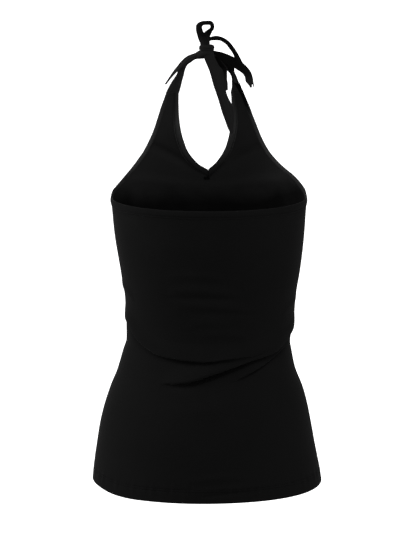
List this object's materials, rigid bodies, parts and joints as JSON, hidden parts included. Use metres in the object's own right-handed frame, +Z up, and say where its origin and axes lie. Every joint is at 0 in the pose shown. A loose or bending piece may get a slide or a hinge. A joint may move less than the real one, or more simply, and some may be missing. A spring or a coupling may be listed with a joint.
{
  "type": "halter neck top",
  "caption": "Close fitting sleeveless jersey top with a V neck, straps tied behind the neck, and a straight back under the arms.",
  "frame": {"origin": "the nape, where the ties and their knot bear on the back of the neck", "axes": "+Z up along the garment from hem to nape, +Y out of its back, +X to the wearer's left"},
  "size_m": [0.347, 0.247, 0.6993],
  "materials": {
    "jersey": "black stretch jersey, matt with a faint sheen"
  },
  "bodies": {
    "root": {"front_panel": "jersey", "back_panel": "jersey", "neck_band_left": "jersey", "neck_band_right": "jersey", "arm_band_left": "jersey", "arm_band_right": "jersey", "back_band": "jersey", "tie_left": "jersey", "tie_right": "jersey", "tie_loop": "jersey", "knot": "jersey", "knot_turn": "jersey", "tail_long": "jersey", "tail_short": "jersey", "tail_arc": "jersey", "tail_left": "jersey"}
  },
  "joints": []
}
